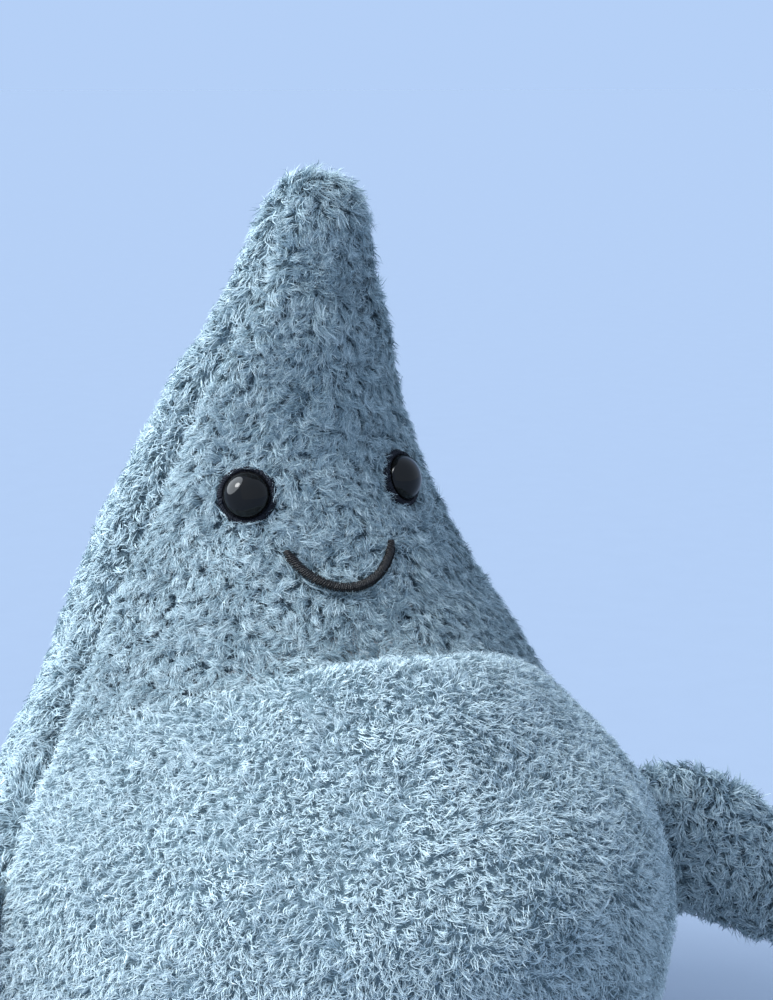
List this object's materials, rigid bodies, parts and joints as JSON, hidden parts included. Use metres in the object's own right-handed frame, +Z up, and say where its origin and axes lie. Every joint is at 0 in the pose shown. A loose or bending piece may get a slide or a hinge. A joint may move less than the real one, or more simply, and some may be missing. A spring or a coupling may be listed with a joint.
{
  "type": "plush shark",
  "caption": "Sitting plush shark with an upright pointed snout, bead eyes, sewn smile, round belly, hinged soft fins and a tail on the floor.",
  "frame": {"origin": "middle of the flat base, on the surface that the toy sits on", "axes": "+Z up to the snout's tip, -Y the way the face looks, +X the toy's own left side"},
  "size_m": [0.2556, 0.2527, 0.2036],
  "materials": {
    "plush_fabric": "short curly pile",
    "fibre_filling": "loose polyester fibre",
    "pouch_cloth": "plain weave",
    "bean_pellets": "satin pellets",
    "black_bead": "high gloss",
    "clear_washer": "moulded",
    "black_thread": "satin stitch",
    "blue_thread": "sewing thread",
    "ribbon_label": "woven ribbon"
  },
  "bodies": {
    "body": {"face_panel": "plush_fabric", "belly_panel": "plush_fabric", "back_panel_left": "plush_fabric", "back_panel_right": "plush_fabric", "base_panel": "plush_fabric", "body_stuffing": "fibre_filling", "bean_pouch": "pouch_cloth", "bean_fill": "bean_pellets", "bead_eye_left": "black_bead", "bead_eye_right": "black_bead", "eye_ring_left": "black_thread", "eye_ring_right": "black_thread", "eye_washer_left": "clear_washer", "eye_washer_right": "clear_washer", "mouth_stitching": "black_thread", "mouth_backing": "pouch_cloth", "closing_stitches": "blue_thread", "care_label": "ribbon_label"},
    "pectoral_fin_left": {"pectoral_fin_left_panel_front": "plush_fabric", "pectoral_fin_left_panel_rear": "plush_fabric", "pectoral_fin_left_stuffing": "fibre_filling"},
    "pectoral_fin_right": {"pectoral_fin_right_panel_front": "plush_fabric", "pectoral_fin_right_panel_rear": "plush_fabric", "pectoral_fin_right_stuffing": "fibre_filling"},
    "dorsal_fin": {"dorsal_fin_panel_left": "plush_fabric", "dorsal_fin_panel_right": "plush_fabric", "dorsal_fin_stuffing": "fibre_filling"},
    "tail": {"tail_panel_left": "plush_fabric", "tail_panel_right": "plush_fabric", "tail_stuffing": "fibre_filling"},
    "tail_fin": {"tail_fin_panel_left": "plush_fabric", "tail_fin_panel_right": "plush_fabric", "tail_fin_stuffing": "fibre_filling"}
  },
  "joints": [
    {"name": "pectoral_fin_left_flap", "type": "hinge", "parent": "body", "child": "pectoral_fin_left", "pos_m": [0.0744, -0.01014, 0.05317], "axis": [-0.084, -0.0972, 0.9917], "range_deg": [-35, 35], "stiffness_Nm_per_rad": 0.02},
    {"name": "pectoral_fin_right_flap", "type": "hinge", "parent": "body", "child": "pectoral_fin_right", "pos_m": [-0.0744, -0.01014, 0.05317], "axis": [-0.084, 0.0972, -0.9917], "range_deg": [-35, 35], "stiffness_Nm_per_rad": 0.02},
    {"name": "dorsal_fin_sway", "type": "hinge", "parent": "body", "child": "dorsal_fin", "pos_m": [0, 0.06153, 0.10139], "axis": [0, -0.1633, 0.9866], "range_deg": [-35, 35], "stiffness_Nm_per_rad": 0.02},
    {"name": "tail_sway", "type": "hinge", "parent": "body", "child": "tail", "pos_m": [0, 0.086, 0.021], "axis": [0, 0, 1], "range_deg": [-18, 18], "stiffness_Nm_per_rad": 0.08},
    {"name": "tail_fin_sway", "type": "hinge", "parent": "tail", "child": "tail_fin", "pos_m": [0, 0.135, 0.021], "axis": [0, 0, 1], "range_deg": [-30, 30], "stiffness_Nm_per_rad": 0.02}
  ]
}
